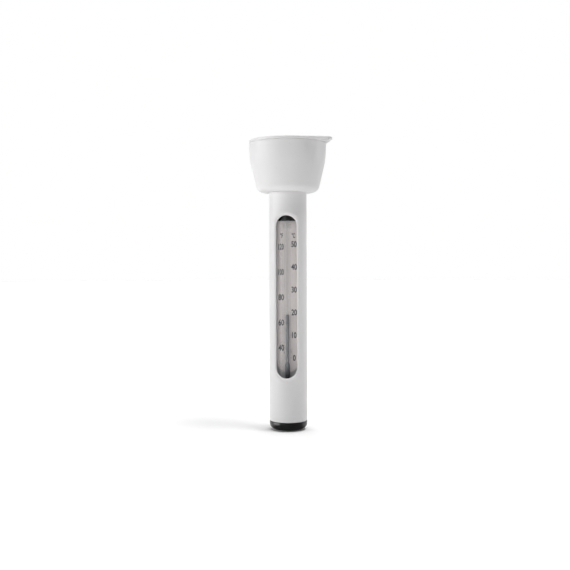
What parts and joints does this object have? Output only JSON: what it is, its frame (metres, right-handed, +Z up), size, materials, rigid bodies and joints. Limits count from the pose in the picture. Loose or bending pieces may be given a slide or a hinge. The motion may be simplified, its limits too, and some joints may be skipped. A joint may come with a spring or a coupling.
{
  "type": "floating pool thermometer",
  "caption": "Floating pool thermometer: tapered float head with a tether tab on a round tube, a slotted window over a scale plate and liquid column, and a weighted end cap.",
  "frame": {"origin": "on the tube's axis at the end cap's flat foot", "axes": "+Z up the tube to the float head, -Y out of the scale window, +X to the right of a person reading the scale"},
  "size_m": [0.0586, 0.0536, 0.2],
  "materials": {
    "white_abs": "white moulded ABS, satin gloss",
    "black_plastic": "black moulded plastic, polished",
    "black_rubber": "black moulded rubber, semi-matt",
    "grey_rubber": "pale grey moulded rubber, semi-matt",
    "clear_plastic": "clear drawn acrylic, polished",
    "glass": "clear drawn glass",
    "spirit": "dark dyed thermometer liquid",
    "scale_card": "warm grey matt plastic with dark printed scale",
    "scale_ink": "dark slate printing ink of the scale",
    "foam": "closed-cell foam",
    "steel": "turned steel, as machined"
  },
  "bodies": {
    "housing": {"body_tube": "white_abs", "float_cup": "white_abs", "float_lid": "white_abs", "lid_seal": "black_rubber", "neck_seal": "black_rubber", "neck_lock_ring": "steel", "clear_capsule": "clear_plastic", "capsule_top_plug": "black_rubber", "capsule_bottom_plug": "grey_rubber", "capsule_seal_upper": "black_rubber", "capsule_seal_lower": "black_rubber", "capsule_pad": "foam", "scale_plate": "scale_card", "glass_tube": "glass", "bulb_liquid": "spirit", "liquid_thread": "spirit", "tube_clip_upper": "clear_plastic", "tube_clip_lower": "clear_plastic", "end_cap": "black_plastic", "end_cap_seal": "black_rubber", "ballast_weight": "steel", "ballast_pad": "foam"},
    "liquid_level": {"liquid_meniscus": "spirit"}
  },
  "joints": [
    {"name": "liquid_rise", "type": "slide", "parent": "housing", "child": "liquid_level", "axis": [0, 0, 1], "range_m": [-0.02987, 0.04873], "deforming": ["liquid_thread"]}
  ]
}
